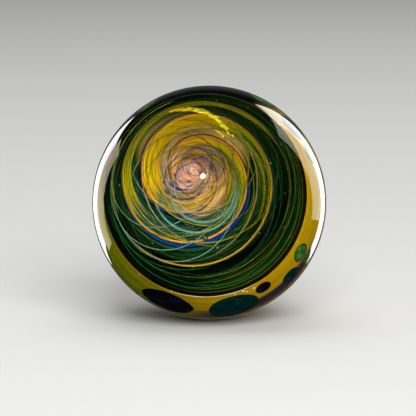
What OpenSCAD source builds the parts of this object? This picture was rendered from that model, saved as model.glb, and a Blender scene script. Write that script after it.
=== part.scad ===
// Glass marble with a spiral funnel inside: clear and coloured glasses fused into one ball.
// The ball's middle is the origin, and the clear window over the funnel faces -Y.
// Everything is drawn with the window along +Z, X to the right and Y up, and module seen()
// turns that drawing to the front.

/* [Ball] */
// Diameter of the ball
ball_d = 50; // [46:1:56]
// How far the window looks up from level, in degrees
window_rise = 8; // [0:1:30]

/* [Funnel] */
// Angle between the funnel's wall and its axis
wall_angle = 37; // [36:0.5:39]
// Depth of the funnel's tip behind the ball's middle
tip_depth = 15; // [13:0.5:16]
// Flat of the blunt tip, as a diameter
tip_d = 0.8; // [0.4:0.1:1.2]
// Distance of the funnel's axis left of the ball's middle
shift_left = 2; // [0:0.5:3]
// Distance of the funnel's axis above the ball's middle
shift_up = 3.5; // [0:0.5:4]

/* [Backing] */
// Thickness of the amber layer
amber_t = 1.6; // [1.2:0.1:2.4]
// Depth of the coloured spots that are melted into it
spot_t = 0.9; // [0.5:0.1:1.1]

/* [Rose centre] */
// Reach of the rose glass from the funnel's tip
rose_reach = 1.6; // [1:0.1:1.7]

/* [Spiral arms] */
// Number of arms that wind out of the centre
arm_count = 2; // [1:1:2]
// Growth of an arm's radius in one turn
arm_pitch = 8.8; // [8.7:0.1:10]
// Radius at which an arm starts
arm_start = 1.6; // [1.5:0.1:2.2]
// Direction in which the first arm starts, counted from the right
arm_from = 201; // [0:1:359]
// Widest part of an arm's gold band
gold_w = 2.9; // [1.5:0.1:3]
// Width of the gold band at the arm's outer end
gold_end_w = 0.4; // [0.3:0.1:1.5]
// Width of the orange line along the gold band's outer edge
orange_w = 0.35; // [0.25:0.05:0.45]
// Width of the blue line outside the orange one
blue_w = 0.6; // [0.3:0.05:0.65]
// Thickness of the bands and lines
band_t = 0.3; // [0.2:0.05:0.4]
// Clear glass between the funnel's wall and the bands
band_lift = 0.3; // [0.25:0.05:0.5]

/* [Foil] */
// Number of bright foil flakes above the arms
flake_count = 14; // [6:1:16]
// Length of a flake
flake_l = 0.75; // [0.5:0.05:0.75]
// Width of a flake
flake_w = 0.4; // [0.2:0.05:0.5]
// Thickness of a flake
flake_t = 0.12; // [0.08:0.02:0.2]

/* [Threads] */
// Number of pale mint threads
mint_count = 5; // [3:1:5]
// Number of green threads in the dark outer part
green_count = 4; // [2:1:5]
// Number of lime threads beside the rim
lime_count = 2; // [1:1:2]
// Width of a thread
thread_w = 0.3; // [0.2:0.02:0.36]
// Thickness of a thread
thread_t = 0.2; // [0.12:0.02:0.24]

/* [Seeds] */
// Diameter of the largest gas bubble, or seed
seed_d = 0.9; // [0.5:0.1:1.2]

/* [Hidden] */
$fn = 64;
ball_fn = 200;

ball_r = ball_d / 2;
ground_r = ball_r - amber_t;
shift = [-shift_left, shift_up];

// Rise of the wall for each millimetre of radius
wall_slope = 1 / tan(wall_angle);
tip_r = tip_d / 2;
// Depth at which the wall's lines would meet behind the blunt tip
apex_depth = tip_depth + tip_r * wall_slope;

// Depth of the funnel's wall at a radius from its axis
function wall_z(radius) = radius * wall_slope - apex_depth;

// Radius at which the wall meets the ball's surface in one direction: the window's rim
function rim_radius(angle) =
    let(a = 1 + wall_slope * wall_slope)
    let(b = shift[0] * cos(angle) + shift[1] * sin(angle) - apex_depth * wall_slope)
    let(c = shift * shift + apex_depth * apex_depth - ball_r * ball_r)
    (sqrt(b * b - a * c) - b) / a;

// The rim's least radius, and the clear glass between it and the arms' ends
rim_near = rim_radius(atan2(shift[1], shift[0]));
rim_clear = 0.8;

// Gaps of clear glass between neighbours in one layer, and between layers
side_gap = 0.06;
layer_gap = 0.14;

// A point of the funnel: radius and direction from its axis, and height above the wall
function in_funnel(radius, angle, lift) =
    [shift[0] + radius * cos(angle), shift[1] + radius * sin(angle), wall_z(radius) + lift];

// Arms: the orange line's inner edge is the arm's own spiral
arm_steps = 56;
arm_end = rim_near - rim_clear - orange_w - blue_w - 2 * side_gap;
arm_turns = (arm_end - arm_start) / arm_pitch;
function arm_radius(s) = arm_start + (arm_end - arm_start) * s;
function arm_angle(s) = arm_from - 360 * arm_turns * s;

// Width of the gold band: it grows out of the centre, then thins ever faster toward the rim
gold_root_w = 0.3;
function gold_width(s) =
    min(gold_root_w + (arm_radius(s) - arm_start), gold_w + (gold_end_w - gold_w) * s * s);

// Width of the blue line: a fine line at both ends, and full in the middle of its run
blue_root = 0.3;
function blue_width(s) = blue_w * (blue_root + (1 - blue_root) * pow(sin(180 * s), 3));

// Foil flakes: a short curved trail in a layer just in front of the arms
flake_lift = band_lift + band_t + layer_gap + flake_t;
flake_from = 110;
flake_to = 47;
flake_radius = [11.7, 7.2];
flake_scatter = 0.4;

// Threads: each lies in a layer of its own, so that they cross without touching
loop_steps = 32;
loop_angles = [for (i = [0 : loop_steps - 1]) -360 * i / loop_steps];
thread_lift = flake_lift + flake_t + 2 * layer_gap;
thread_layer = thread_t + layer_gap;

// Pale threads are circles beside the funnel's axis: distance and direction of the circle's
// middle from that axis, its radius, and the thread's width as a share of thread_w
mint_rounds = [[6.8, 158, 9.6, 0.8], [6, 186, 10.2, 0.9], [5.4, 212, 10.2, 0.9],
    [2.05, 275, 5.6, 1.4], [2.3, 302, 4.2, 1.8]];
function round_radius(thread, angle) =
    let(turn = angle - thread[1])
    let(across = thread[0] * sin(turn))
    thread[0] * cos(turn) + sqrt(thread[2] * thread[2] - across * across);

// Green threads: loops of one size, turned evenly around the dark outer part
green_at = 0.79;
green_lean = 0.12;
green_toward = 60;

// Lime threads: loops that keep close to the rim
lime_at = 0.93;
lime_step = 0.05;

// Round spots melted into the amber layer: direction from the funnel's axis, amber left
// between the rim and the spot, and diameter
navy_rounds = [[302, 1, 3.6], [2, 8, 4]];
teal_rounds = [[286, 0.9, 10.6], [315, 4.5, 4.4], [31, 2.2, 7]];
green_rounds = [[326, 1.7, 4.4], [326, 6.7, 4], [15, 3.5, 4.6], [53, 4.2, 6.6], [123, 2.2, 6]];

// The large navy spot is a pointed oval: place as above, then length, width and slant
navy_oval_place = [255, 0.9];
navy_oval_l = 12;
navy_oval_w = 9.6;
navy_oval_slant = 14;

// Rotation that brings the ball's axis to the middle of a spot of one width
function spot_turn(place, width) =
    let(rim = in_funnel(rim_radius(place[0]), place[0], 0))
    [0, acos(rim[2] / ball_r) + (place[1] + width / 2) / ball_r * 180 / PI, atan2(rim[1], rim[0])];

// Seeds: place in the drawing, and share of the largest one's diameter
seeds = [[-0.6, -5.75, 5, 1], [-0.1, 3, -6, 0.5], [0.1, 2.05, -5, 0.6]];

// Turns a drawing with the window along +Z so that the window faces the front
module seen() {
    rotate([90 - window_rise, 0, 0])
        children();
}

// The space in front of the funnel's wall, open at the window
module funnel() {
    reach = 2 * ball_r;
    translate([shift[0], shift[1], -tip_depth])
        cylinder(h = reach, r1 = tip_r, r2 = tip_r + reach / wall_slope, $fn = 180);
}

// All that lies within the rose glass's reach of the tip
module tip_ball() {
    translate([shift[0], shift[1], -tip_depth])
        sphere(r = rose_reach);
}

// The outer part of the amber layer, in which the spots lie
module spot_layer() {
    difference() {
        sphere(r = ball_r, $fn = ball_fn);
        sphere(r = ball_r - spot_t, $fn = ball_fn);
        funnel();
    }
}

// Round punches, each along a radius of the ball and through its surface
module round_punches(spots) {
    for (spot = spots)
        rotate(spot_turn(spot, spot[2]))
            translate([0, 0, ball_r / 2])
                cylinder(h = ball_r, d = spot[2]);
}

// A pointed oval punch, where two round ones overlap
module oval_punch(place, length, width, slant) {
    round_r = (length * length + width * width) / (4 * width);
    rotate(spot_turn(place, width))
        rotate(slant)
            intersection_for(side = [-1, 1])
                translate([side * (round_r - width / 2), 0, ball_r / 2])
                    cylinder(h = ball_r, r = round_r, $fn = 120);
}

module navy_punches() {
    oval_punch(navy_oval_place, navy_oval_l, navy_oval_w, navy_oval_slant);
    round_punches(navy_rounds);
}

// A flat strip that runs clockwise along the wall. Each row of edges holds the inner radius,
// the outer radius, the direction and the height above the wall. A closed strip joins its
// last row to its first.
module strip(edges, thickness, closed) {
    rows = len(edges);
    points = [for (e = edges)
        each [in_funnel(e[0], e[2], e[3]), in_funnel(e[1], e[2], e[3]),
              in_funnel(e[1], e[2], e[3] + thickness), in_funnel(e[0], e[2], e[3] + thickness)]];
    last = closed ? rows - 1 : rows - 2;
    sides = [for (i = [0 : last], k = [0 : 3])
        let(a = 4 * i + k)
        let(b = 4 * i + (k + 1) % 4)
        let(step = 4 * ((i + 1) % rows) - 4 * i)
        each [[a, b + step, b], [a, a + step, b + step]]];
    ends = closed ? [] : [[0, 1, 2, 3], [for (k = [3 : -1 : 0]) 4 * (rows - 1) + k]];
    polyhedron(points = points, faces = concat(sides, ends));
}

// One line of an arm: distance of its inner and outer edge from the arm's spiral
module arm_line(edges) {
    for (arm = [0 : arm_count - 1])
        strip([for (e = edges) [e[0], e[1], e[2] + 360 * arm / arm_count, band_lift]], band_t, false);
}

// Thin plates that lie along the wall in a slightly scattered trail
module flakes() {
    for (i = [0 : flake_count - 1])
        let(s = i / (flake_count - 1))
        let(radius = flake_radius[0] + (flake_radius[1] - flake_radius[0]) * s)
        let(aside = flake_scatter * ((i * 3) % 5 - 2) / 2)
        let(angle = flake_from + (flake_to - flake_from) * s)
        translate(in_funnel(radius + aside, angle, flake_lift))
            rotate([0, 0, angle])
                rotate([0, wall_angle - 90, 0])
                    cube([flake_w, flake_l * (0.6 + 0.4 * sin(180 * s)), flake_t], center = true);
}

// A thread that loops once around the funnel: rows of radius and direction
module loop(rows, width, layer) {
    strip([for (row = rows)
        [row[0] - width / 2, row[0] + width / 2, row[1], thread_lift + layer * thread_layer]],
        thread_t, true);
}

// A loop at a share of the rim's own radius, which may lean toward one side
module rim_loop(at, lean, toward, layer) {
    loop([for (angle = loop_angles) [rim_radius(angle) * (at + lean * cos(angle - toward)), angle]],
        thread_w, layer);
}

module clear_lens() {
    color([0.93, 0.96, 0.97, 0.25])
        seen()
            difference() {
                intersection() {
                    sphere(r = ball_r, $fn = ball_fn);
                    funnel();
                }
                tip_ball();
                gold_strips();
                orange_strips();
                blue_strips();
                flakes();
                mint_loops();
                green_loops();
                lime_loops();
                seed_bubbles();
            }
}

module dark_ground() {
    color([0.02, 0.08, 0.04])
        seen()
            difference() {
                sphere(r = ground_r, $fn = ball_fn);
                funnel();
            }
}

module amber_backing() {
    color([0.72, 0.53, 0.06])
        seen()
            difference() {
                sphere(r = ball_r, $fn = ball_fn);
                sphere(r = ground_r, $fn = ball_fn);
                funnel();
                intersection() {
                    spot_layer();
                    union() {
                        navy_punches();
                        round_punches(teal_rounds);
                        round_punches(green_rounds);
                    }
                }
            }
}

module navy_spots() {
    color([0.02, 0.04, 0.1])
        seen()
            intersection() {
                spot_layer();
                navy_punches();
            }
}

module teal_spots() {
    color([0.02, 0.27, 0.25])
        seen()
            intersection() {
                spot_layer();
                round_punches(teal_rounds);
            }
}

module green_spots() {
    color([0.2, 0.45, 0.16])
        seen()
            intersection() {
                spot_layer();
                round_punches(green_rounds);
            }
}

module rose_centre() {
    color([0.85, 0.55, 0.5])
        seen()
            intersection() {
                funnel();
                tip_ball();
            }
}

// Gold band: its outer edge is the arm's spiral, less the gap to the orange line
module gold_strips() {
    arm_line([for (i = [0 : arm_steps])
        let(s = i / arm_steps)
        let(outer = arm_radius(s) - side_gap)
        [outer - gold_width(s), outer, arm_angle(s)]]);
}

module orange_strips() {
    arm_line([for (i = [0 : arm_steps])
        let(s = i / arm_steps)
        [arm_radius(s), arm_radius(s) + orange_w, arm_angle(s)]]);
}

module blue_strips() {
    arm_line([for (i = [0 : arm_steps])
        let(s = i / arm_steps)
        let(inner = arm_radius(s) + orange_w + side_gap)
        [inner, inner + blue_width(s), arm_angle(s)]]);
}

module mint_loops() {
    for (i = [0 : mint_count - 1])
        let(thread = mint_rounds[i])
        loop([for (angle = loop_angles) [round_radius(thread, angle), angle]], thread_w * thread[3], i);
}

module green_loops() {
    for (i = [0 : green_count - 1])
        rim_loop(green_at, green_lean, green_toward + 360 * i / green_count, mint_count + i);
}

module lime_loops() {
    for (i = [0 : lime_count - 1])
        rim_loop(lime_at - lime_step * i, 0, 0, i);
}

// Gas bubbles in the clear glass
module seed_bubbles() {
    for (seed = seeds)
        translate([seed[0], seed[1], seed[2]])
            sphere(d = seed_d * seed[3], $fn = 32);
}

module gold_bands() {
    color([0.78, 0.55, 0.08])
        seen()
            gold_strips();
}

module orange_lines() {
    color([0.95, 0.5, 0.05])
        seen()
            orange_strips();
}

module blue_lines() {
    color([0.03, 0.25, 0.7])
        seen()
            blue_strips();
}

module foil_flakes() {
    color([0.95, 0.85, 0.1])
        seen()
            flakes();
}

module mint_threads() {
    color([0.62, 0.85, 0.68])
        seen()
            mint_loops();
}

module green_threads() {
    color([0.1, 0.5, 0.15])
        seen()
            green_loops();
}

module lime_threads() {
    color([0.6, 0.65, 0.1])
        seen()
            lime_loops();
}

clear_lens();
dark_ground();
amber_backing();
navy_spots();
teal_spots();
green_spots();
rose_centre();
gold_bands();
orange_lines();
blue_lines();
foil_flakes();
mint_threads();
green_threads();
lime_threads();
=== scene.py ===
"""Glass marble with a spiral funnel: the looks of its fused, clear and coloured glasses.

Every piece is worked out in the drawing of the part's source: millimetres, the window along +Z,
X to the right and Y up. seen() then turns the drawing to the front, as the source does.
"""

import bmesh
import bpy
import numpy as np
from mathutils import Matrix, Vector


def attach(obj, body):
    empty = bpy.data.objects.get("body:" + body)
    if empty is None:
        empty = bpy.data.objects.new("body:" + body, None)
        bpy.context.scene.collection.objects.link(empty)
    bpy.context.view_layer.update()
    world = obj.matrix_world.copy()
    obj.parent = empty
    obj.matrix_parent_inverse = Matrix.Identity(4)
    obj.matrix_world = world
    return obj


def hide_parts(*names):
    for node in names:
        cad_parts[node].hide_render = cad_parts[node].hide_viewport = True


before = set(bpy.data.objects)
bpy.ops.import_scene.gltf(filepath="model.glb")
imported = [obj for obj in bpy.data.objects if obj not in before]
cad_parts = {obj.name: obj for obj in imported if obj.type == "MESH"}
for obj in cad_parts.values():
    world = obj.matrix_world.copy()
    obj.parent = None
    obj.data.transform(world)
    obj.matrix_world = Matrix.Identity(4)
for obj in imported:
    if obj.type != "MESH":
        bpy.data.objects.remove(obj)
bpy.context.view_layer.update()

# Sizes as in the part's source, in millimetres. The funnel's axis is shifted from the ball's.
MM = 0.001
TURN = 2 * np.pi
BALL_R = 25.0
WINDOW_RISE = np.radians(8)
HALF_ANGLE = np.radians(37)
WALL_SLOPE = 1 / np.tan(HALF_ANGLE)
TIP_DEPTH = 15.0
TIP_R = 0.4
APEX_DEPTH = TIP_DEPTH + TIP_R * WALL_SLOPE
SHIFT = np.array([-2.0, 3.5])
AMBER_T = 1.6
GROUND_R = BALL_R - AMBER_T
SPOT_T = 0.9
ROSE_REACH = 1.6
ROSE_PITCH = 2.4
SEEDS = ((-0.6, -5.75, 5, 0.9), (-0.1, 3, -6, 0.45), (0.1, 2.05, -5, 0.54))

ARM_COUNT = 2
ARM_PITCH = 8.8
ARM_START = 1.6
ARM_FROM = np.radians(201)
GOLD_W = 2.9
GOLD_END_W = 0.4
GOLD_ROOT_W = 0.3
ORANGE_W = 0.35
BLUE_W = 0.6
BLUE_ROOT = 0.3
BAND_T = 0.3
BAND_LIFT = 0.3
RIM_CLEAR = 0.8
SIDE_GAP = 0.06
LAYER_GAP = 0.14

FLAKE_COUNT = 14
FLAKE_L = 0.75
FLAKE_W = 0.4
FLAKE_T = 0.12
FLAKE_SCATTER = 0.4
FLAKE_LIFT = BAND_LIFT + BAND_T + LAYER_GAP + FLAKE_T
TRAIL_R = (11.7, 7.2)
TRAIL_FROM = 110
TRAIL_SWEEP = 63

THREAD_W = 0.3
THREAD_T = 0.2
THREAD_LIFT = FLAKE_LIFT + FLAKE_T + 2 * LAYER_GAP
THREAD_LAYER = THREAD_T + LAYER_GAP

# What only the scene has. The finest lines lie just above the arms, and over the rose glass near
# the tip. From one line's start to the next are the degrees of a golden angle, so that none
# coincide.
FINE_LIFT = 0.62
FINE_T = 0.03
CURL_T = 0.04
ROSE_GAP = 0.02
GOLDEN = 137.5
# Depth of the painted flash under the flakes.
PAINTED_FLASH_DROP = 0.09
LENS_SUNK = 0.1
SPECK_COUNT = 34
SPECK_REACH = 18.5

# What the glasses have in common. Fused glass lies under other glass, so it has no shine.
GLASS_IOR = 1.47
POLISHED = {"Roughness": 0.03, "IOR": GLASS_IOR}
FUSED = {"Roughness": 0.5, "IOR": GLASS_IOR, "Specular IOR Level": 0.0}

# Colours of the streaks, from where the noise is low to where it is high.
GROUND = [(0.3, "#030A03"), (0.45, "#081C05"), (0.56, "#143008"), (0.7, "#324408")]
GROUND_OUTER = [(0.4, "#010401"), (0.58, "#030A03"), (0.75, "#10180A")]
GROUND_TEAL = [(0.32, "#020F16"), (0.46, "#082624"), (0.58, "#143E32"), (0.72, "#345E42")]
# Gold glass, painted lighter: partly a painted glow around the centre.
HAZE_WITH_PAINTED_GLOW = [(0.3, "#5E6A20"), (0.42, "#BC9A40"), (0.5, "#E0B65C"), (0.6, "#EEC87C"), (0.72, "#F2C450")]
ROSE = [(0.3, "#3A3E86"), (0.41, "#8A749E"), (0.48, "#E2AC8A"), (0.6, "#FACC9C"), (0.7, "#FAB048")]
AMBER = [(0.3, "#7A5C02"), (0.45, "#A08002"), (0.7, "#B08C04")]
AMBER_OLIVE = [(0.3, "#404804"), (0.45, "#606804"), (0.7, "#7E7E04")]
# Near black: the amber is darker towards the top.
DARK_ABOVE = [(0.35, "#020304"), (0.6, "#04070A"), (0.75, "#0C1218")]
# Painted sheen: a violet reflection on the amber's lower right limb.
PAINTED_SHEEN_VIOLET = [(0.35, "#1E1628"), (0.6, "#342A42"), (0.75, "#443830")]
GOLD = [(0.3, "#807E04"), (0.42, "#B89804"), (0.55, "#E2AE04"), (0.7, "#F6C414")]
GOLD_OLIVE = [(0.3, "#1A4406"), (0.45, "#4C7004"), (0.58, "#A09E08"), (0.72, "#C4B014")]
VEIL = [(0.3, "#0C3E26"), (0.45, "#24543A"), (0.58, "#4A6A48"), (0.72, "#7E7A4E")]
ORANGE = [(0.3, "#DC8402"), (0.6, "#F09A0C")]
ORANGE_PEACH = [(0.3, "#A8661E"), (0.6, "#C88A44")]
ORANGE_GOLD = [(0.3, "#A86C04"), (0.6, "#C88C0A")]
ORANGE_OLIVE = [(0.3, "#3E4406"), (0.6, "#6E660C")]
BLUE = [(0.35, "#031850"), (0.65, "#05367E")]
BLUE_TEAL = [(0.35, "#022838"), (0.65, "#044A62")]
NAVY = [(0.4, "#020306"), (0.55, "#040810"), (0.68, "#0C1A34")]
TEAL = [(0.3, "#010C0C"), (0.45, "#011E1E"), (0.6, "#022E2C"), (0.68, "#0A1878")]
TEAL_EDGE = [(0.35, "#010C0A"), (0.6, "#03301C")]
LEAF = [(0.35, "#163A10"), (0.55, "#2E6620"), (0.7, "#5A8428")]
LEAF_EDGE = [(0.35, "#030C08"), (0.6, "#061C1C")]
# Painted glints: cream white.
PAINTED_GLINT = [(0.4, "#E8DCC0"), (0.6, "#FFF8E8")]
FOIL = [(0.35, "#E08A00"), (0.5, "#FFC800"), (0.65, "#FFF030")]
FOIL_LIME = [(0.35, "#9AC400"), (0.5, "#F0DC00"), (0.65, "#FFF870")]

# Colours of the amber layer's cut edge, from its thickness inside the rim to 0.4 mm outside it.
# They show on the outside for the bleed's width, and the shine ends just inside the rim.
# The first ramp paints a highlight along the rim, its bright orange line. The second, used where
# the amber's last mask is full towards the upper left, has no painted highlight.
EDGE_PAINTED_HIGHLIGHT = [(0.0, "#060C03"), (0.6, "#1A1404"), (0.72, "#8A4A08"), (0.8, "#E08A30"),
               (0.88, "#A48202")]
EDGE_NO_HIGHLIGHT = [(0.0, "#020402"), (0.68, "#0A1A06"), (0.79, "#5A801A"), (0.88, "#0A0E0A")]
EDGE_OUT = 0.4
EDGE_BLEED = 0.35
EDGE_SHINE = 0.03

# Dim and bright colour of the drawn threads.
MINT = ("#8A7A4A", "#62907C")
GREEN = ("#0A2A0C", "#1E6E2A")
LIME = ("#1E2A08", "#6E7010")
OLIVE = ("#3C5A10", "#96901A")


# Places in the drawing

def smooth(x, low, high):
    """Rises from 0 at low to 1 at high along t * t * (3 - 2 t)."""
    t = np.clip((x - low) / (high - low), 0, 1)
    return t * t * (3 - 2 * t)


def facing(a, toward, low, high):
    """How much a direction turns towards another one, in degrees: 0 where the cosine between
    them is low or less, 1 where it is high or more."""
    return smooth(np.cos(a - np.radians(toward)), low, high)


def shares(count):
    """Shares from 0 to 1, as a row."""
    return np.linspace(0, 1, count)[None, :]


def around(count):
    """Directions once around, as a column, with the first repeated at the end."""
    return np.linspace(0, TURN, count + 1)[:, None]


def section(count):
    """Directions once around a line's section, as a row."""
    return around(count).T


def wall_z(radius):
    """Depth of the funnel's wall: a straight cone with a flat blunt tip."""
    return np.maximum(radius * WALL_SLOPE - APEX_DEPTH, -TIP_DEPTH)


def rose_z(radius):
    """Height of the rose glass: a ball about the tip, z from the radius by Pythagoras."""
    return np.sqrt(np.maximum(ROSE_REACH ** 2 - radius ** 2, 0)) - TIP_DEPTH


def ring_radius(angle, ball_r=BALL_R):
    """Radius from the funnel's axis at which its wall meets a ball, from the quadratic of both."""
    a = 1 + WALL_SLOPE ** 2
    b = SHIFT[0] * np.cos(angle) + SHIFT[1] * np.sin(angle) - APEX_DEPTH * WALL_SLOPE
    c = SHIFT @ SHIFT + APEX_DEPTH ** 2 - ball_r ** 2
    return (np.sqrt(b * b - a * c) - b) / a


def plan(radius, angle, z):
    """Points at a radius and direction from the funnel's axis, and a height z."""
    x = SHIFT[0] + radius * np.cos(angle)
    y = SHIFT[1] + radius * np.sin(angle)
    return np.stack(np.broadcast_arrays(x, y, z), -1)


def on_wall(radius, angle, lift):
    """Points above the funnel's wall: the same place as plan(), with the wall's depth plus lift."""
    return plan(radius, angle, radius * WALL_SLOPE - APEX_DEPTH + lift)


def seen(points):
    """Turns the drawing about X by 90 degrees less the window's rise, and makes it metres."""
    a = np.pi / 2 - WINDOW_RISE
    x, y, z = points[..., 0], points[..., 1], points[..., 2]
    return MM * np.stack([x, y * np.cos(a) - z * np.sin(a), y * np.sin(a) + z * np.cos(a)], -1)


ANGLE = around(288)
RIM = ring_radius(ANGLE)
INNER_RIM = ring_radius(ANGLE, GROUND_R)
LOOP = around(240)


# Grids made into pieces

WELD = 1e-6
CREASE = np.radians(40)


def sheet(points, uv, flow=(0, 0, 0), masks=(), flip=True):
    """One grid of points[i, j], with three attributes whose parts are each stretched over it: its
    map, the way its pattern flows, and up to four masks, which say how much of another colour or
    of cover there is. flip turns the faces over, where the grid runs the other way round."""
    def over_grid(parts):
        """Each part stretched over the grid, side by side along a new last axis."""
        return np.stack([np.broadcast_to(part, points.shape[:2]) for part in parts], -1)
    return {"points": points, "uv": over_grid(uv), "flow": over_grid(flow),
            "masks": over_grid((*masks, 0, 0, 0, 0)[:4]), "flip": flip}


def piece(name, sheets, finish, nodes=()):
    """Joins grids into one mesh: each four neighbours make a face, and points that coincide, at
    a seam, a pole or a shared edge, are welded. The grid's attributes go along."""
    quads, start = [], 0
    for grid in sheets:
        rows, columns = grid["points"].shape[:2]
        index = start + np.arange(rows * columns).reshape(rows, columns)
        quad = [index[:-1, :-1], index[1:, :-1], index[1:, 1:], index[:-1, 1:]]
        quads.append(np.stack(quad[::-1] if grid["flip"] else quad, -1).reshape(-1, 4))
        start += rows * columns
    quads = np.concatenate(quads)
    points, uv, flow, masks = (np.concatenate([g[k].reshape(-1, g[k].shape[-1]) for g in sheets])
                               for k in ("points", "uv", "flow", "masks"))
    mesh = bpy.data.meshes.new(name)
    mesh.from_pydata(seen(points), [], quads)
    mesh.uv_layers.new(name="UVMap").data.foreach_set("uv", uv[quads.ravel()].ravel())
    mesh.attributes.new("flow", "FLOAT_VECTOR", "POINT").data.foreach_set(
        "vector", flow.astype(np.float32).ravel())
    mesh.attributes.new("masks", "FLOAT_COLOR", "POINT").data.foreach_set(
        "color", masks.astype(np.float32).ravel())
    work = bmesh.new()
    work.from_mesh(mesh)
    bmesh.ops.remove_doubles(work, verts=work.verts, dist=WELD)
    work.to_mesh(mesh)
    work.free()
    mesh.shade_smooth()
    mesh.set_sharp_from_angle(angle=CREASE)
    mesh.materials.append(finish)
    obj = bpy.data.objects.new(name, mesh)
    bpy.context.scene.collection.objects.link(obj)
    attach(obj, "root")
    if nodes:
        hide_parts(*nodes)


def back_of(ring, ball_r, steps):
    """The ball's surface from a ring of points to the pole behind it, along great circles: each
    direction turns evenly from the ring's towards the pole's. Gives the points and their distance
    from the ring."""
    start = ring / np.linalg.norm(ring, axis=-1, keepdims=True)
    pole = -start[:-1].mean(axis=(0, 1))
    pole /= np.linalg.norm(pole)
    t = np.linspace(0, 1, steps)[None, :, None]
    arc = np.arccos(np.clip((start * pole).sum(-1, keepdims=True), -1, 1))
    way = (np.sin((1 - t) * arc) * start + np.sin(t * arc) * pole) / np.sin(arc)
    return ball_r * way, (t * arc)[..., 0] * ball_r


def small_ball(columns, rows):
    """Directions around and from the top down, and the unit vectors that they give."""
    a, b = np.meshgrid(np.linspace(0, TURN, columns), np.linspace(0, np.pi, rows), indexing="ij")
    return a, b, np.stack([np.sin(b) * np.cos(a), np.sin(b) * np.sin(a), np.cos(b)], -1)


def clouds(points, size):
    """Flow without a direction: the point's own place, with clouds size times as large as the
    finish's streaks."""
    return np.moveaxis(points, -1, 0) / size


def ring_clouds(size, radius):
    """Flow around a ring: a circle, so that the last cloud meets the first."""
    return size * np.cos(LOOP), size * np.sin(LOOP), radius


def twist(angle, radius, pitch, slender):
    """Flow along a spiral: a circle as long as the spiral's pitch, on which a direction is
    constant along the spiral, and the radius, shortened so that streaks are slender."""
    phase = angle + TURN * radius / pitch
    return pitch / TURN * np.cos(phase), pitch / TURN * np.sin(phase), radius / slender


# Finishes

def colour(code):
    """An sRGB hex value as linear red, green, blue and alpha."""
    s = np.array([int(code[i:i + 2], 16) for i in (1, 3, 5)]) / 255
    return (*np.where(s <= 0.04045, s / 12.92, ((s + 0.055) / 1.055) ** 2.4), 1.0)


def add(tree, kind, settings=(), links=()):
    """Adds one node. Settings are attributes or inputs by name or number, a ramp's stops are
    pairs of place and colour, and links give the output that feeds each input."""
    node = tree.nodes.new("ShaderNode" + kind)
    for key, value in dict(settings).items():
        if key == "stops":
            stops = node.color_ramp.elements
            while len(stops) < len(value):
                stops.new(0.5)
            for stop, (at, shade) in zip(stops, value):
                stop.position = at
                stop.color = colour(shade)
        elif isinstance(key, str) and hasattr(node, key):
            setattr(node, key, value)
        else:
            is_hex = isinstance(value, str) and value.startswith("#")
            node.inputs[key].default_value = colour(value) if is_hex else value
    for key, source in dict(links).items():
        tree.links.new(source, node.inputs[key])
    return node


def new_finish(name):
    """An empty material, its node tree, and its output's surface socket."""
    finish = bpy.data.materials.new(name)
    finish.use_nodes = True
    tree = finish.node_tree
    tree.nodes.clear()
    return finish, tree, tree.nodes.new("ShaderNodeOutputMaterial").inputs["Surface"]


def clear_glass():
    """Borosilicate glass, fire-polished: no colour of its own, a sharp picture of each lamp, and
    the funnel enlarged behind it. Light falls through it on the coloured glass."""
    finish, tree, out = new_finish("clear_borosilicate_fire_polished")
    glass = add(tree, "BsdfGlass", {"Color": "#FAFCFB", "Roughness": 0.0, "IOR": GLASS_IOR})
    light = add(tree, "BsdfTransparent", {"Color": "#F6F9F8"})
    path = add(tree, "LightPath")
    both = add(tree, "MixShader", (), {0: path.outputs["Is Shadow Ray"], 1: glass.outputs[0],
                                       2: light.outputs[0]})
    tree.links.new(both.outputs[0], out)
    return finish


def streaked(tree, streak, detail, ramps):
    """Streaks of noise along a piece's flow, as wide as streak in millimetres. The finest real
    ones are under a tenth of that, too fine to show, so they are drawn this coarse. A first ramp
    colours them, and one more ramp where each mask is full. Gives the colour, the noise and the
    four masks."""
    flow = add(tree, "Attribute", {"attribute_name": "flow"})
    data = add(tree, "Attribute", {"attribute_name": "masks"})
    split = add(tree, "SeparateXYZ", (), {0: data.outputs["Color"]}).outputs
    masks = [split[0], split[1], split[2], data.outputs["Alpha"]]
    noise = add(tree, "TexNoise", {"Scale": 1 / streak, "Detail": detail, "Roughness": 0.6},
                {"Vector": flow.outputs["Vector"]}).outputs["Fac"]
    shade = add(tree, "ValToRGB", {"stops": ramps[0]}, {0: noise}).outputs["Color"]
    for mask, ramp in zip(masks, ramps[1:]):
        other = add(tree, "ValToRGB", {"stops": ramp}, {0: noise}).outputs["Color"]
        shade = add(tree, "Mix", {"data_type": "RGBA"}, {0: mask, 6: shade, 7: other}).outputs[2]
    return shade, noise, masks


def fused(name, streak, detail, ramps, cover=None, glow=0.0):
    """Coloured glass fused under clear glass: soft streaks without a shine. With a cover, noise
    plus the last mask says how much of the streaks hides what lies behind. A faint glow is painted
    light: the glass gives off light in its own colours, brighter than the lamps make it."""
    finish, tree, out = new_finish(name)
    shade, noise, masks = streaked(tree, streak, detail, ramps)
    result = add(tree, "BsdfPrincipled", {**FUSED, "Emission Strength": glow},
                 {"Base Color": shade, "Emission Color": shade}).outputs[0]
    if cover:
        full = add(tree, "Math", {"operation": "ADD"}, {0: noise, 1: masks[3]})
        full = add(tree, "MapRange",
                   {"From Min": 1 - cover, "From Max": 1 + cover, "To Max": 0.96},
                   {0: full.outputs[0]})
        behind = add(tree, "BsdfTransparent")
        result = add(tree, "MixShader", (), {0: full.outputs[0], 1: behind.outputs[0],
                                             2: result}).outputs[0]
    tree.links.new(result, out)
    return finish


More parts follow.
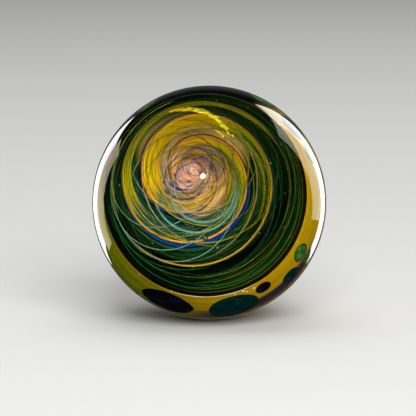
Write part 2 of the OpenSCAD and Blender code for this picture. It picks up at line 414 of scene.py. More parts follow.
def drawn(name, dim, bright, least, most):
    """A thread drawn thin and wound on while soft. The first mask turns its colour from dim to
    bright and its cover from least to most, and the second one fades it. Clouds of 1 to 5 mm vary
    both along its length: its flow counts clouds, not millimetres."""
    finish, tree, out = new_finish(name)
    flow = add(tree, "Attribute", {"attribute_name": "flow"})
    data = add(tree, "Attribute", {"attribute_name": "masks"})
    share, fade, _ = add(tree, "SeparateXYZ", (), {0: data.outputs["Color"]}).outputs
    noise = add(tree, "TexNoise", {"Scale": 0.8, "Detail": 2.0}, {"Vector": flow.outputs["Vector"]})
    cloud = add(tree, "MapRange",
                {"From Min": 0.3, "From Max": 0.7, "To Min": -0.2, "To Max": 0.2},
                {0: noise.outputs["Fac"]})
    full = add(tree, "Math", {"operation": "ADD", "use_clamp": True},
               {0: share, 1: cloud.outputs[0]})
    shade = add(tree, "Mix", {"data_type": "RGBA", 6: dim, 7: bright}, {0: full.outputs[0]})
    body = add(tree, "BsdfPrincipled", FUSED, {"Base Color": shade.outputs[2]})
    cover = add(tree, "MapRange", {"To Min": least, "To Max": most}, {0: full.outputs[0]})
    soft = add(tree, "Math", {"operation": "MULTIPLY"}, {0: cover.outputs[0], 1: fade})
    behind = add(tree, "BsdfTransparent")
    both = add(tree, "MixShader", (), {0: soft.outputs[0], 1: behind.outputs[0],
                                       2: body.outputs[0]})
    tree.links.new(both.outputs[0], out)
    return finish


def polished(name, streak, detail, ramps, edges=None):
    """Coloured glass at the ball's surface: streaks or clouds under a fire-polished shine. With
    edges, the map's second value is the distance from the rim. There the cut edge, and a narrow
    bleed outside it, take the first ramp's colours, or the second one's where the last mask is
    full. The cut edge has no shine, because it is fused to the clear glass."""
    finish, tree, out = new_finish(name)
    shade, _, masks = streaked(tree, streak, detail, ramps)
    if edges:
        uv = add(tree, "UVMap", {"uv_map": "UVMap"})
        distance = add(tree, "SeparateXYZ", (), {0: uv.outputs[0]}).outputs["Y"]
        place = add(tree, "MapRange", {"From Min": -AMBER_T, "From Max": EDGE_OUT}, {0: distance})
        lines = [add(tree, "ValToRGB", {"stops": stops}, {0: place.outputs[0]}).outputs["Color"]
                 for stops in edges]
        line = add(tree, "Mix", {"data_type": "RGBA"}, {0: masks[3], 6: lines[0], 7: lines[1]})
        near = add(tree, "MapRange", {"From Max": EDGE_BLEED, "To Min": 1.0, "To Max": 0.0},
                   {0: distance})
        shade = add(tree, "Mix", {"data_type": "RGBA"},
                    {0: near.outputs[0], 6: shade, 7: line.outputs[2]}).outputs[2]
    body = add(tree, "BsdfPrincipled", POLISHED, {"Base Color": shade})
    if edges:
        inside = add(tree, "MapRange",
                     {"From Min": -EDGE_SHINE, "From Max": 0.0, "To Min": 1.0, "To Max": 0.0},
                     {0: distance})
        cut = add(tree, "BsdfPrincipled", FUSED, {"Base Color": shade})
        body = add(tree, "MixShader", (), {0: inside.outputs[0], 1: body.outputs[0],
                                           2: cut.outputs[0]})
    tree.links.new(body.outputs[0], out)
    return finish


# The ball's layers

def seed_void(x, y, z, d):
    """A gas bubble: a small sphere whose faces look inward, because it is a hole in the glass."""
    a, b, way = small_ball(25, 13)
    return sheet(np.array([x, y, z]) + d / 2 * way, (a, b), flip=False)


def window_lens():
    """The clear glass that fills the funnel. Its window is the ball: z from x, y and the ball's
    radius. Its back is the funnel's wall, sunk a little so that the ground hides it."""
    radius = RIM * shares(110)
    front = plan(radius, ANGLE, 0)
    front[..., 2] = np.sqrt(BALL_R ** 2 - (front[..., :2] ** 2).sum(-1))
    deep = RIM * shares(60)
    back = plan(deep, ANGLE, wall_z(deep) - LENS_SUNK * smooth(RIM - deep, 0, 1.5))
    sheets = [sheet(front, (ANGLE, radius)), sheet(back, (ANGLE, deep), flip=False)]
    sheets += [seed_void(*seed) for seed in SEEDS]
    piece("window_lens", sheets, clear_glass(), ("clear_lens",))


def funnel_ground():
    """The dark glass behind the spiral: the funnel's cone, closed by a ball inside the amber."""
    radius = INNER_RIM * shares(150)
    cone = plan(radius, ANGLE, wall_z(radius))
    back, away = back_of(cone[:, -1:], GROUND_R, 40)
    outer = (smooth(radius, 10.5, 13.5) * (1 - 0.8 * facing(ANGLE, 40, 0.5, 1.0))
             * (1 - 0.7 * facing(ANGLE, 318, 0.6, 1.0) * smooth(radius, 14, 18)))
    teal = facing(ANGLE, 235, 0.2, 0.8) * (1 - smooth(radius, 8, 12))
    above = facing(ANGLE, 92, -0.3, 0.8)
    haze = 1 - smooth(radius, 4.0 + 2.5 * above, 6.0 + 4.5 * above)
    rose = 1 - smooth(radius, 1.0, 4.5)
    # Fused near-black green glass: dark streaks a third of a millimetre wide that wind with the
    # arms, teal below, and gold haze around the centre and rose at the tip, both partly a painted
    # glow round the key lamp's highlight.
    finish = fused("dark_green_fused_glass", 1 / 3, 3.0,
                   (GROUND, GROUND_OUTER, GROUND_TEAL, HAZE_WITH_PAINTED_GLOW, ROSE))
    front = sheet(cone, (ANGLE / TURN, radius), twist(ANGLE, radius, ARM_PITCH, 12),
                  (outer, teal, haze, rose))
    piece("funnel_ground", [front, sheet(back, (ANGLE / TURN, away), clouds(back, 10), (1,))],
          finish, ("dark_ground",))


def amber_shell():
    """The amber layer behind the funnel: its cut edge on the cone, its outside on the ball, and
    its inside. The map's second value is the distance from the rim along the surface."""
    radius = INNER_RIM + (RIM - INNER_RIM) * shares(12)
    edge = on_wall(radius, ANGLE, 0)
    outside, away = back_of(edge[:, -1:], BALL_R, 110)
    inside, _ = back_of(edge[:, :1], GROUND_R, 30)
    comb = 0.267
    combed = (comb * np.cos(ANGLE), comb * np.sin(ANGLE), away)
    olive = facing(ANGLE, 212, 0.25, 1.0) * (1 - smooth(away, 20, 42))
    # The amber is near black towards the top.
    dark_above = facing(ANGLE, 113, 0.2, 0.6) * (1 - smooth(away, 7, 12))
    # Painted sheen: violet along the lower right limb, where the limb mirrors its surroundings.
    painted_sheen = facing(ANGLE, 300, 0.7, 0.95) * smooth(away, 5.2, 7) * (1 - smooth(away, 9, 14))
    # The last mask turns the rim's painted highlight off towards the upper left.
    masks = (olive, dark_above, painted_sheen, facing(ANGLE, 125, -0.3, 0.4))
    # Fire-polished amber, combed around the rim while hot: streaks a third of a millimetre wide
    # that run a fifth of the way around, olive to the lower left, near black above, and a painted
    # violet sheen below.
    finish = polished("amber_glass_combed", 1 / 3, 3.0, (AMBER, AMBER_OLIVE, DARK_ABOVE, PAINTED_SHEEN_VIOLET),
                      edges=(EDGE_PAINTED_HIGHLIGHT, EDGE_NO_HIGHLIGHT))
    at_rim = [[part[:, :1] for part in parts] for parts in (combed, masks)]
    along_wall = (radius - RIM) * AMBER_T
    piece("amber_shell", [
        sheet(edge, (ANGLE / TURN, along_wall), *at_rim),
        sheet(outside, (ANGLE / TURN, away), combed, masks),
        sheet(inside, (ANGLE / TURN, -AMBER_T), clouds(inside, 10), flip=False)],
        finish, ("amber_backing",))


def painted_rim_highlight():
    """A painted highlight: the short bright stretch of the rim at the bottom, where the edge
    catches the light, drawn as an oval section along the rim that thins to nothing at both ends."""
    start, end, taper = 246, 306, 16
    inset, half_width, lift, half_height = 0.12, 0.1, 0.015, 0.01
    toward = np.linspace(start, end, 120)[:, None]
    a, k = np.radians(toward), section(8)
    thin = smooth(toward, start, start + taper) * smooth(-toward, -end, taper - end)
    r = ring_radius(a) - inset + half_width * np.cos(k) * thin
    line = sheet(on_wall(r, a, lift + half_height * np.sin(k)), (a, k), (6 * a, 0, 0),
                 (facing(a, 282, 0.75, 0.99), 1), flip=False)
    # Painted highlight at the cut edge: a warm white gleam that fades to peach at both ends.
    finish = drawn("painted_rim_highlight_finish", "#C08048", "#F0D8B8", 0.4, 0.95)
    piece("painted_rim_highlight", [line], finish)


def seeds_with_painted_glints():
    """Tiny seeds in the clear glass, each a small ball with a painted glint. Each is turned by a
    golden angle from the last, and lies out by the root of its share, which spreads them evenly."""
    a, b, way = small_ball(9, 6)
    balls = []
    for i in range(SPECK_COUNT):
        r = SPECK_REACH * np.sqrt((i + 0.5) / SPECK_COUNT)
        lift = (2.6 + 0.9 * (i * 7 % 5)) * (1 - r / 24)
        place = on_wall(r, np.radians((360 - GOLDEN) * i), lift)
        balls.append(sheet(place + (0.06 + 0.02 * (i % 3)) * way, (a, b), clouds(way, 1),
                           (0.5 + 0.5 * (i % 2), 1)))
    # Gas and grit in the melt, with painted glints: pinpoints of dull gold or cream.
    finish = drawn("seed_painted_glint_finish", "#8A7848", "#C8C0A0", 0.5, 0.9)
    piece("seeds_with_painted_glints", balls, finish)


def rose_centre():
    """The rose glass in the funnel's tip: a ball about the tip, cut by the wall. The profile
    runs from the dome's top to the wall and back along it to the tip."""
    share = np.linspace(0, 1, 40)
    edge = TIP_R + ROSE_REACH * np.sin(HALF_ANGLE)
    out, home = edge * share, edge * (1 - share[1:])
    z = np.concatenate([rose_z(out), wall_z(home)])[None, :]
    z[0, len(out) - 1] = wall_z(edge)
    r = np.concatenate([out, home])[None, :]
    turned = sheet(plan(r, ANGLE, z), (ANGLE / TURN, r), twist(ANGLE, r, ROSE_PITCH, 4.19),
                   (0, 0, 0, 0.62))
    # Rose, lilac and gold glass twisted together: swirls a tenth of a millimetre wide, made
    # brighter by a painted glow.
    finish = fused("rose_and_lilac_glass_painted_glow", 0.1137, 4.0, (ROSE,), cover=0.3, glow=0.12)
    piece("rose_centre_twist", [turned], finish, ("rose_centre",))


# Arms

ARM_TOP = np.arctan2(SHIFT[1], SHIFT[0])
ARM_END = float(ring_radius(ARM_TOP)) - RIM_CLEAR - ORANGE_W - BLUE_W - 2 * SIDE_GAP
ARM_TURNS = (ARM_END - ARM_START) / ARM_PITCH


def arm_radius(s):
    """Radius of an arm at a share of its length: it grows evenly."""
    return ARM_START + (ARM_END - ARM_START) * s


def arm_line(inner, outer, masks, slender=100, apart=3.0):
    """A line of both arms: the arm's radius grows evenly along it while its direction turns
    clockwise. The section is an oval with flattened sides between an inner and an outer distance
    from that spiral, which closes at both ends. The flow is the distance across the line and the
    shortened distance along it, and apart sets off the second arm's streaks from the first's."""
    s = np.linspace(0, 1, 560)[:, None]
    k = section(16)
    low, high = arm_radius(s) + inner(s), arm_radius(s) + outer(s)
    close = np.sqrt(smooth(s, 0, 0.012) * smooth(1 - s, 0, 0.012))
    wide = np.sign(np.cos(k)) * abs(np.cos(k)) ** 0.7
    tall = np.sign(np.sin(k)) * abs(np.sin(k)) ** 0.7
    r = (low + high) / 2 + (high - low) / 2 * wide * close
    z = BAND_LIFT + BAND_T / 2 + BAND_T / 2 * tall * close
    v = (r - low) / (high - low)
    run = TURN * ARM_TURNS * arm_radius(s)
    sheets = []
    for arm in range(ARM_COUNT):
        a = ARM_FROM + TURN * arm / ARM_COUNT - TURN * ARM_TURNS * s
        sheets.append(sheet(on_wall(r, a, z), (s, v), (r - low, run / slender + apart * arm, 0),
                            masks(s, v, a)))
    return sheets


def gold_width(s):
    """Width of the gold band: it grows out of the centre, then thins towards the rim."""
    return np.minimum(GOLD_ROOT_W + arm_radius(s) - ARM_START,
                      GOLD_W + (GOLD_END_W - GOLD_W) * s * s)


def gold_masks(s, v, a):
    """Olive green to the right, a pale green veil below, rose and gold haze near the centre, and
    cover: full above and to the left, and thin streaks elsewhere."""
    inner = 1 - smooth(s, 0.12, 0.3)
    right = np.maximum(facing(a, 345, -0.1, 0.6), 0.8 * smooth(s, 0.42, 0.62))
    below = facing(a, 262, 0.3, 0.8)
    above = facing(a, 118, -0.2, 0.5)
    cover = np.maximum(0.52 + 0.28 * above + 0.1 * smooth(v, 0.5, 1.0) - 0.1 * below, 0.66 * inner)
    cover = cover - (0.42 - 0.17 * above) * smooth(s, 0.5, 0.75)
    return right * (1 - inner), below * (1 - 0.7 * inner), 0.8 * (1 - smooth(s, 0.02, 0.2)), cover


def orange_masks(s, v, a):
    """Peach below in the first turn, gold further out, olive and faint in the last turn."""
    peach = facing(a, 285, 0.2, 0.9) * (1 - smooth(s, 0.4, 0.6))
    cover = 0.9 - 0.5 * smooth(s, 0.76, 0.9) - 0.35 * smooth(s, 0.4, 0.6) * smooth(v, 0.5, 0.8)
    return peach, smooth(s, 0.35, 0.62), smooth(s, 0.76, 0.86), cover


def blue_masks(s, v, a):
    """Blue and full width below and to the right in the first turns, else a fine teal line."""
    full = facing(a, 278, -0.05, 0.6) * smooth(s, 0.12, 0.3) * (1 - smooth(s, 0.45, 0.6))
    width = 0.3 + 0.7 * full
    return full, 0, 0, 0.9 - 0.8 * smooth(v, width, width + 0.25) - 0.5 * smooth(s, 0.66, 0.82)


def arms():
    """Gold band, orange line and blue line of each arm, from the inside out."""
    gold = arm_line(lambda s: -SIDE_GAP - gold_width(s), lambda s: -SIDE_GAP, gold_masks,
                    slender=163, apart=3.456)
    orange = arm_line(lambda s: 0, lambda s: ORANGE_W, orange_masks)
    start = ORANGE_W + SIDE_GAP
    swell = 1 - BLUE_ROOT
    blue = arm_line(lambda s: start,
                    lambda s: start + BLUE_W * (BLUE_ROOT + swell * np.sin(np.pi * s) ** 3),
                    blue_masks)
    # Gold glass with a metal fume: long yellow streaks a quarter of a millimetre wide, which let
    # the dark ground show between them.
    finish = fused("gold_fumed_glass", 0.24, 2.0, (GOLD, GOLD_OLIVE, VEIL, ROSE), cover=0.2)
    piece("gold_bands_streaked", gold, finish, ("gold_bands",))
    # Opaque orange glass: a clean warm outline that turns gold, then olive, further out.
    finish = fused("orange_fused_glass", 1 / 3, 2.0,
                   (ORANGE, ORANGE_PEACH, ORANGE_GOLD, ORANGE_OLIVE), cover=0.2)
    piece("orange_edge_lines", orange, finish, ("orange_lines",))
    # Cobalt glass: a deep blue edge where it is thick, and teal where it is drawn out thin.
    finish = fused("cobalt_blue_fused_glass", 1 / 3, 2.0, (BLUE_TEAL, BLUE), cover=0.2)
    piece("blue_edge_lines", blue, finish, ("blue_lines",))


# Curls and rings by the tip

def round_radius(away, toward, size):
    """Radius from the funnel's axis to a circle whose middle lies away from it in one direction:
    the cosine's share of that distance, plus the root of the size's square less the sine's."""
    turn = LOOP - np.radians(toward)
    return away * np.cos(turn) + np.sqrt(size ** 2 - (away * np.sin(turn)) ** 2)


def above_tip(r, middle, lift):
    """Height of a fine line: above the wall by lift, or just above the rose glass."""
    return np.maximum(wall_z(r) + lift, rose_z(middle) + ROSE_GAP)


def curl(inner, outer, start, turns, width, bright, lift=0.64):
    """A fine line whose radius grows evenly between two radii while its direction turns
    clockwise, just above the arms. Its oval section tapers to a point at both ends."""
    s = np.linspace(0, 1, 160)[:, None]
    k = section(6)
    middle = inner + (outer - inner) * s
    a = np.radians(start) - TURN * turns * s
    r = middle + width / 2 * np.cos(k) * smooth(s, 0, 0.1) * smooth(1 - s, 0, 0.1)
    z = above_tip(r, middle, lift) + CURL_T / 2 * (1 + np.sin(k))
    return sheet(plan(r, a, z), (s, k / TURN), (4 * s, 0, start / 7),
                 (facing(a, bright, -0.6, 0.8), 1), flip=False)


def tip_ring(away, toward, size, width, bright, lift):
    """A see-through ring about a point beside the tip, laid above the arms and the rose glass as
    a curl is. Its second mask fades it at both edges."""
    k = section(8)
    middle = round_radius(away, toward, size)
    r = middle + width / 2 * np.cos(k)
    z = above_tip(r, middle, lift) + FINE_T / 2 * (1 + np.sin(k))
    return sheet(plan(r, LOOP, z), (LOOP / TURN, k / TURN), ring_clouds(2, size),
                 (facing(LOOP, bright, -0.7, 0.7), 1 - abs(np.cos(k)) ** 2), flip=False)


def curls():
    """Fine gold and peach lines that wind out of the centre, indigo lines of painted shade, and
    olive lines that carry the arms on to the rim."""
    # Fine gold threads: each is bright along one side of its turn and brown along the other.
    finish = drawn("fine_gold_drawn_glass", "#7A5E2A", "#D8982A", 0.25, 0.8)
    piece("fine_gold_curls",
          [curl(0.5 + 0.2 * i, 2.4 + 0.34 * i, GOLDEN * i, 0.9 - 0.03 * i, 0.07 + 0.008 * i,
                GOLDEN * i - 120, FINE_LIFT + 0.004 * i) for i in range(11)],
          finish)
    # Peach threads under the arms: thin, dusky, warm only to the right.
    finish = drawn("fine_peach_drawn_glass", "#6A6A7A", "#C49A78", 0.15, 0.55)
    piece("fine_peach_curls",
          [curl(1.6 + 0.45 * i, 3.4 + 0.62 * i, 60 + GOLDEN * i, 0.62, 0.12, 20, 0.2)
           for i in range(8)],
          finish)
    # Painted shade: short cool indigo shadows across the warm centre.
    finish = drawn("indigo_painted_shade_finish", "#8A7080", "#2A3066", 0.05, 0.45)
    piece("indigo_painted_shade_curls",
          [curl(1.0 + 0.3 * i, 2.1 + 0.36 * i, start, 0.26, 0.2, bright, 0.67 + 0.005 * i)
           for i, (start, bright) in enumerate((
               (272, 215), (95, 45), (290, 215), (70, 45), (255, 215), (300, 215)))],
          finish)
    # Olive threads: two dull lines that go on where the arms end.
    finish = drawn("outer_olive_drawn_glass", "#24340A", "#7E7412", 0.2, 0.8)
    piece("outer_olive_curls",
          [curl(15.4 + 0.8 * i, 16.6 + 0.9 * i, 40 + 150 * i, 0.8, 0.12, 340, 0.04)
           for i in range(2)],
          finish)


def tip_rings():
    """Rings beside the tip: threads that cross deep in the funnel, and slate rings of painted
    shade.
    Each row says how far from the axis and towards where its middle lies, its radius and width,
    and where it is brightest."""
    def ring_stack(name, rings, lift, finish):
        """One piece of rings, each a little above the one before."""
        piece(name, [tip_ring(*ring, lift + 0.004 * i) for i, ring in enumerate(rings)],
              finish)
    # Peach threads: the warm, bright lines of the centre.
    ring_stack("peach_tip_rings",
               ((0.6, 146, 0.75, 0.11, 150), (2.0, 24, 2.35, 0.15, 10), (1.0, 300, 1.9, 0.12, 320),
                (1.5, 330, 2.9, 0.12, 350), (0.7, 200, 1.6, 0.12, 200),
                (0.35, 265, 0.55, 0.12, 290)), 0.70,
               drawn("peach_drawn_glass", "#D09858", "#FFAC60", 0.1, 0.85))
    # Mauve threads: pale, half see-through lines between the peach ones.
    ring_stack("mauve_tip_rings",
               ((1.35, 73, 1.5, 0.14, 100), (1.84, 43, 1.98, 0.14, 60), (0.9, 20, 1.15, 0.12, 60),
                (0.5, 250, 1.0, 0.16, 250), (2.2, 300, 3.2, 0.16, 200),
                (1.2, 180, 2.2, 0.14, 210)), 0.724,
               drawn("mauve_drawn_glass", "#C8A690", "#CCB8D4", 0.02, 0.55))
    # Painted shade: wide soft slate rings that give the centre its depth.
    ring_stack("slate_painted_shade_rings",
               ((1.4, 66, 1.7, 0.34, 20), (0.9, 245, 1.55, 0.36, 225), (1.9, 35, 2.3, 0.18, 30),
                (1.2, 215, 2.4, 0.3, 235), (0.8, 160, 1.9, 0.2, 180)), 0.748,
               drawn("slate_painted_shade_finish", "#A88C54", "#3E4870", 0.0, 0.36))


# Threads

def rim_share(at, lean, toward):
    """A share of the rim's own radius, which leans towards one side by the cosine."""
    return ring_radius(LOOP) * (at + lean * np.cos(LOOP - np.radians(toward)))


def loop(radius, width, lift, bright, thick=THREAD_T, low=-0.4, high=0.8):
    """A thread once around the funnel, of oval section. Its first mask is the share of its bright
    colour, greatest where it faces one direction, and its second one fades it at both edges."""
    k = section(16)
    r = radius + width / 2 * np.cos(k)
    z = lift + thick / 2 + thick / 2 * np.sin(k)
    return sheet(on_wall(r, LOOP, z), (LOOP / TURN, k / TURN), ring_clouds(3, radius.mean()),
                 (facing(LOOP, bright, low, high), 1 - abs(np.cos(k))), flip=False)


def threads():
    """Mint, green and lime threads, each in a layer of its own."""
    mint = [loop(round_radius(away, toward, size), THREAD_W * share,
                 THREAD_LIFT + i * THREAD_LAYER, bright, low=low)
            for i, (away, toward, size, share, bright, low) in enumerate((
                (6.8, 158, 9.6, 0.8, 230, 0.0), (6, 186, 10.2, 0.9, 235, 0.0),
                (5.4, 212, 10.2, 0.9, 262, 0.0), (2.05, 275, 5.6, 1.4, 280, 0.1),
                (2.3, 302, 4.2, 1.8, 286, 0.2)))]
    green = [loop(rim_share(0.79, 0.12, 60 + 90 * i), THREAD_W,
                  THREAD_LIFT + (len(mint) + i) * THREAD_LAYER, 75 + 90 * i, low=-0.7, high=0.6)
             for i in range(4)]
    lime = [loop(rim_share(0.93 - 0.05 * i, 0, 0), THREAD_W, THREAD_LIFT + i * THREAD_LAYER, 330,
                 low=0.2) for i in range(2)]
    # Mint threads: milky green lines over the arms where they are brightest, tan elsewhere.
    piece("mint_thread_loops", mint, drawn("mint_drawn_glass", *MINT, 0.12, 0.85),
          ("mint_threads",))
    # Green threads: bright on one side of the dark outer ground, and lost in it on the other.
    piece("green_thread_loops", green, drawn("green_drawn_glass", *GREEN, 0.04, 0.7),
          ("green_threads",))
    # Lime threads: a yellow-green gleam near the rim at the lower right.
    piece("lime_thread_loops", lime, drawn("lime_drawn_glass", *LIME, 0.06, 0.75),
          ("lime_threads",))


def fine_threads():
    """Finer threads than the source draws, close to the wall. The real ones are thinner still,
    and are drawn as wide as they have to be to show. Green ones wind both ways and cross in the
    outer dark part, and olive and tan circles beside the axis lie between the arms."""
    crossing = [curl(11.6 + 0.4 * (i % 5), 17.8 + 0.4 * (i % 4), 25 + GOLDEN * i,
                     (0.34, -0.26)[i % 2], 0.08 + 0.02 * (i % 3), GOLDEN * i - 40,
                     0.02 + 0.012 * i) for i in range(6)]
    circles = [loop(round_radius(3.2, 95 + GOLDEN * i, 13.6 + 0.4 * i), 0.15, 0.12 + 0.012 * i,
                    200 + GOLDEN * i, thick=FINE_T, low=0.0) for i in range(5)]
    between = [loop(round_radius(2.6 + 0.7 * (i % 4), 20 + GOLDEN * i, 5.0 + 0.4 * i),
                    0.2 + 0.04 * (i % 3), FINE_LIFT + 0.01 * i, 200 + GOLDEN * i, thick=FINE_T,
                    low=-0.7) for i in range(18)]
    # Green threads: a faint net over the dark outer ground.
    piece("fine_green_threads", crossing + circles,
          drawn("fine_green_drawn_glass", *GREEN, 0.02, 0.62))
    # Olive threads: gold-green lines that tie the arms together.
    piece("fine_olive_threads", between[::2],
          drawn("fine_olive_drawn_glass", *OLIVE, 0.12, 0.8))
    # Tan threads: milky lines between the olive ones.
    piece("fine_tan_threads", between[1::2],
          drawn("fine_tan_drawn_glass", "#4A6A50", "#A89A5C", 0.12, 0.7))


# Spots and flakes

def spot(where, gap, width, length=None, slant=0.0, wave=0.0, proud=0.012):
    """A spot melted into the ball's surface. Its outline is a circle, or where two circles
    overlap if a length is given, with a wave of two and three lobes. The profile runs from the
    middle over the outside to the outline, down through the layer, and back to the middle."""
    where = np.radians(where)
    rim_at = on_wall(ring_radius(where), where, 0)
    polar = np.arccos(rim_at[2] / BALL_R) + (gap + width / 2) / BALL_R
    azimuth = np.arctan2(rim_at[1], rim_at[0])
    up = np.array([np.sin(polar) * np.cos(azimuth), np.sin(polar) * np.sin(azimuth),
                   np.cos(polar)])
    down = np.array([np.cos(polar) * np.cos(azimuth), np.cos(polar) * np.sin(azimuth),
                     -np.sin(polar)])
    side = np.cross(up, down)
    phi = around(72)
    reach = np.full_like(phi, width / 2)
    if length:
        r = (length ** 2 + width ** 2) / (4 * width)
        k = r - width / 2
        reach = -k * abs(np.cos(phi)) + np.sqrt((k * np.cos(phi)) ** 2 + r * r - k * k)
    lobes = np.sin(2 * phi + where * 7) + 0.5 * np.sin(3 * phi + where * 3)
    reach = reach * (1 + wave * lobes)
    out, home = np.linspace(0, 1, 16), np.linspace(1, 0, 6)
    share = np.concatenate([out, home])[None, :]
    sunk = np.concatenate([proud * out ** 8 - proud, np.full(home.shape, SPOT_T)])[None, :]
    turned = phi + np.radians(slant)
    a, b = reach * share * np.cos(turned), reach * share * np.sin(turned)
    height = np.sqrt(BALL_R ** 2 - a * a - b * b)
    way = a[..., None] * down + b[..., None] * side + height[..., None] * up
    return sheet(way * (1 - sunk / BALL_R)[..., None], (phi / TURN, share), (a, b, 0),
                 (smooth(share, 0.8, 0.93),))


def spots():
    """Navy, teal and green spots, as placed in the source, and painted glints: pale specks beside
    the rim.
    """
    # Navy glass melted in: near black, with blue clouds 3 mm across.
    piece("navy_melted_spots", [spot(255, 0.9, 9.6, 12, 14), spot(302, 1, 3.6), spot(2, 8, 4)],
          polished("navy_glass_melted_in", 2.86, 3.0, (NAVY,)), ("navy_spots",))
    # Teal glass melted in: dark clouds 2 mm across, a blue gleam and a green-black edge.
    piece("teal_melted_spots",
          [spot(286, 0.9, 10.6, wave=0.03), spot(315, 4.5, 4.4), spot(31, 2.2, 7, wave=0.04)],
          polished("teal_glass_melted_in", 2.0, 4.0, (TEAL, TEAL_EDGE)),
          ("teal_spots",))
    # Green glass melted in: leaf green clouds inside a dark edge.
    piece("green_melted_spots",
          [spot(326, 1.7, 4.4, wave=0.05), spot(326, 6.7, 4), spot(15, 3.5, 4.6),
           spot(53, 4.2, 6.6, wave=0.04), spot(123, 2.2, 6, wave=0.04)],
          polished("green_glass_melted_in", 1.667, 4.0, (LEAF, LEAF_EDGE)),
          ("green_spots",))
    # Painted glints: cream specks that stand a little proud of the amber.
    piece("painted_glint_specks",
          [spot(*place, proud=0.03) for place in (
              (288, 0.35, 0.4), (292.5, 0.3, 0.5), (294, 1.0, 0.35), (298, 0.9, 0.45),
              (255, 0.2, 0.22), (236, 0.5, 0.22), (330, 0.6, 0.22), (345, 1.1, 0.2))],
          polished("painted_glint_finish", 2.0, 2.0, (PAINTED_GLINT,)))


def flake(i):
    """A thin plate with rounded ends that lies along the wall at one place of the trail. Its oval
    section swells from nothing at both ends, by the root of 1 less the cube of t."""
    t = np.linspace(-1, 1, 13)[:, None]
    k = section(8)
    s = i / (FLAKE_COUNT - 1)
    radius = TRAIL_R[0] + (TRAIL_R[1] - TRAIL_R[0]) * s + FLAKE_SCATTER * ((i * 3) % 5 - 2) / 2
    a = np.radians(TRAIL_FROM - TRAIL_SWEEP * s)
    swell = np.sqrt(np.maximum(1 - abs(t) ** 3, 0))
    along = FLAKE_L * (0.6 + 0.4 * np.sin(np.pi * s)) / 2 * t
    across = FLAKE_W / 2 * np.cos(k) * swell
    r = radius + across * np.sin(HALF_ANGLE)
    x = SHIFT[0] + r * np.cos(a) - along * np.sin(a)
    y = SHIFT[1] + r * np.sin(a) + along * np.cos(a)
    z = wall_z(radius) + FLAKE_LIFT + across * np.cos(HALF_ANGLE) + FLAKE_T / 2 * np.sin(k) * swell
    return sheet(np.stack([x, y, z], -1), (t, k), (along / 4.17, across, 0.2 * i),
                 (smooth(s, 0.1, 0.5), 0, 0, 0.9), flip=False)


def painted_flash_strip(start, end, inner, outer, wide):
    """A strip of painted flash just under the flakes: direction and radius change evenly along it,
    and its width swells from nothing and shrinks back. It is thinner at its edges and its end."""
    s = np.linspace(0, 1, 120)[:, None]
    v = np.linspace(-1, 1, 7)[None, :]
    a = np.radians(start + (end - start) * s)
    close = (smooth(s, 0, 0.3) * smooth(1 - s, 0, 0.3)) ** 0.5
    r = inner + (outer - inner) * s + wide / 2 * v * close
    return sheet(on_wall(r, a, FLAKE_LIFT - PAINTED_FLASH_DROP), (s, v), (1.2 * s, 0.64 * r, start / 45),
                 (smooth(s, 0.2, 0.7), 0, 0, 0.72 - 0.35 * abs(v) - 0.2 * smooth(s, 0.8, 1)),
                 flip=False)


def flakes():
    """Coated flakes in a curved trail, brightened by a painted glow, over a painted flash in the
    same colours.
    """
    # Glass with a thin-film coating: orange, yellow and lime glints finer than a flake, with a
    # painted glow that makes them brighter than any dull colour.
    finish = fused("foil_film_painted_glow", 1 / 6, 3.0, (FOIL, FOIL_LIME), cover=0.3, glow=0.45)
    piece("foil_flake_plates", [flake(i) for i in range(FLAKE_COUNT)], finish,
          ("foil_flakes",))
    piece("foil_painted_flash_trail", [painted_flash_strip(*strip) for strip in (
        (113, 74, 11.8, 9.4, 1.4), (104, 46, 11.0, 7.1, 0.8), (84, 62, 10.3, 7.7, 0.5),
        (66, 50, 6.7, 6.3, 0.5))], finish)


# Lights, floor and camera, in the photo's view: it looks at the window from BACK.

RIGHT = np.array([1.0, 0.0, 0.0])
UP = np.array([0.0, np.sin(WINDOW_RISE), np.cos(WINDOW_RISE)])
BACK = np.array([0.0, -np.cos(WINDOW_RISE), np.sin(WINDOW_RISE)])
LENS = 242.8
CAMERA_AWAY = 0.6
VIEW_DOWN = 1.17
VIEW_LEFT = 0.27
STRIP_AWAY = 0.55


def aim(obj, place, target):
    """Puts an object at a place so that its -Z looks at the target and its Y stays upright."""
    obj.location = Vector(place)
    obj.rotation_euler = (Vector(target) - Vector(place)).to_track_quat("-Z", "Y").to_euler()


def lamp(name, toward, distance, width, height, watts, shape="RECTANGLE"):
    """An area lamp in a direction given by right, up and back shares of the photo's view."""
    data = bpy.data.lights.new(name, "AREA")
    data.shape = shape
    data.size = width
    data.size_y = height
    data.energy = watts
    obj = bpy.data.objects.new(name, data)
    bpy.context.scene.collection.objects.link(obj)
    way = toward[0] * RIGHT + toward[1] * UP + toward[2] * BACK
    aim(obj, way / np.linalg.norm(way) * distance, (0, 0, 0))
    obj.visible_camera = False
    return obj


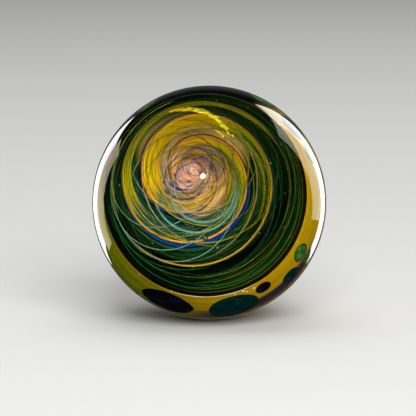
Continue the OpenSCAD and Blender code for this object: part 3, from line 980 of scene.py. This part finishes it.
def lights():
    """A small key lamp that the window mirrors, two soft boxes that nothing mirrors, and two
    strips at each side that only gloss sees, each a bright crescent in the glass."""
    lamp("key_lamp", (-0.105, 0.418, 0.90), 0.5, 0.052, 0.052, 0.17, "ELLIPSE")
    for box in (("fill_soft_box", (0.2, 0.4, 0.9), 1.2, 0.9, 0.9, 18),
                ("top_soft_box", (0.0, 1.0, -0.1), 1.1, 1.0, 1.0, 5.5)):
        lamp(*box).visible_glossy = False
    for name, azimuth, elevation, width, height, level, tint in (
            ("left_strip", -30, 5, 0.18, 0.36, 4.2, (1, 1, 1)),
            ("left_warm_strip", -48, 4, 0.15, 0.44, 2.4, (1, 0.82, 0.6)),
            ("right_strip", 33, 14, 0.17, 0.60, 4.2, (1, 1, 1)),
            ("right_dim_strip", 53, 18, 0.19, 0.52, 2.2, (1, 0.98, 0.86))):
        a, b = np.radians(azimuth), np.radians(elevation)
        strip = lamp(name, (np.sin(a) * np.cos(b), np.sin(b), -np.cos(a) * np.cos(b)), STRIP_AWAY,
                     width, height, level * np.pi * width * height)
        strip.data.color = tint
        strip.visible_diffuse = False


def studio():
    """The surroundings: pale where the camera sees them, plain and dim as light, and near black
    in gloss and through glass, apart from a faint gleam behind the ball that its limb mirrors."""
    world = bpy.data.worlds.new("studio")
    bpy.context.scene.world = world
    world.use_nodes = True
    tree = world.node_tree
    tree.nodes.clear()
    way = add(tree, "TexCoord")
    split = add(tree, "SeparateXYZ", (), {0: way.outputs["Generated"]})
    gleam = add(tree, "MapRange",
                {"From Min": 0.86, "From Max": 1.0, "To Min": 0.008, "To Max": 0.16},
                {0: split.outputs["Y"]})
    path = add(tree, "LightPath")
    level = add(tree, "MapRange", {"To Min": 0.3, "To Max": 0.85},
                {0: path.outputs["Is Camera Ray"]})
    for ray in ("Is Glossy Ray", "Is Transmission Ray"):
        level = add(tree, "Mix", {}, {0: path.outputs[ray], 2: level.outputs[0],
                                      3: gleam.outputs[0]})
    sky = add(tree, "Background", (), {"Strength": level.outputs[0]})
    tree.links.new(sky.outputs[0], tree.nodes.new("ShaderNodeOutputWorld").inputs["Surface"])


def paper_floor():
    """A plain sheet that touches the ball's lowest point."""
    low, side, back = -BALL_R * MM, 3, 6
    mesh = bpy.data.meshes.new("floor")
    mesh.from_pydata([(-side, -side, low), (side, -side, low), (side, back, low),
                      (-side, back, low)], [], [(0, 1, 2, 3)])
    # Matt paper: pale, even and without a shine.
    finish, tree, out = new_finish("pale_matt_paper")
    paper = add(tree, "BsdfDiffuse", {"Color": "#D8D8D6"})
    tree.links.new(paper.outputs[0], out)
    mesh.materials.append(finish)
    floor = bpy.data.objects.new("floor", mesh)
    bpy.context.scene.collection.objects.link(floor)
    floor.visible_glossy = False


def photo_camera():
    """A long lens that looks straight at the window, a little below and left of its middle."""
    data = bpy.data.cameras.new("camera")
    data.lens = LENS
    data.clip_start = 0.01
    camera = bpy.data.objects.new("camera", data)
    bpy.context.scene.collection.objects.link(camera)
    target = -UP * VIEW_DOWN * MM - RIGHT * VIEW_LEFT * MM
    aim(camera, target + BACK * CAMERA_AWAY, target)
    bpy.context.scene.camera = camera


window_lens()
funnel_ground()
amber_shell()
painted_rim_highlight()
seeds_with_painted_glints()
rose_centre()
arms()
curls()
tip_rings()
threads()
fine_threads()
spots()
flakes()

lights()
studio()
paper_floor()
photo_camera()
bpy.context.scene.view_settings.view_transform = "Standard"
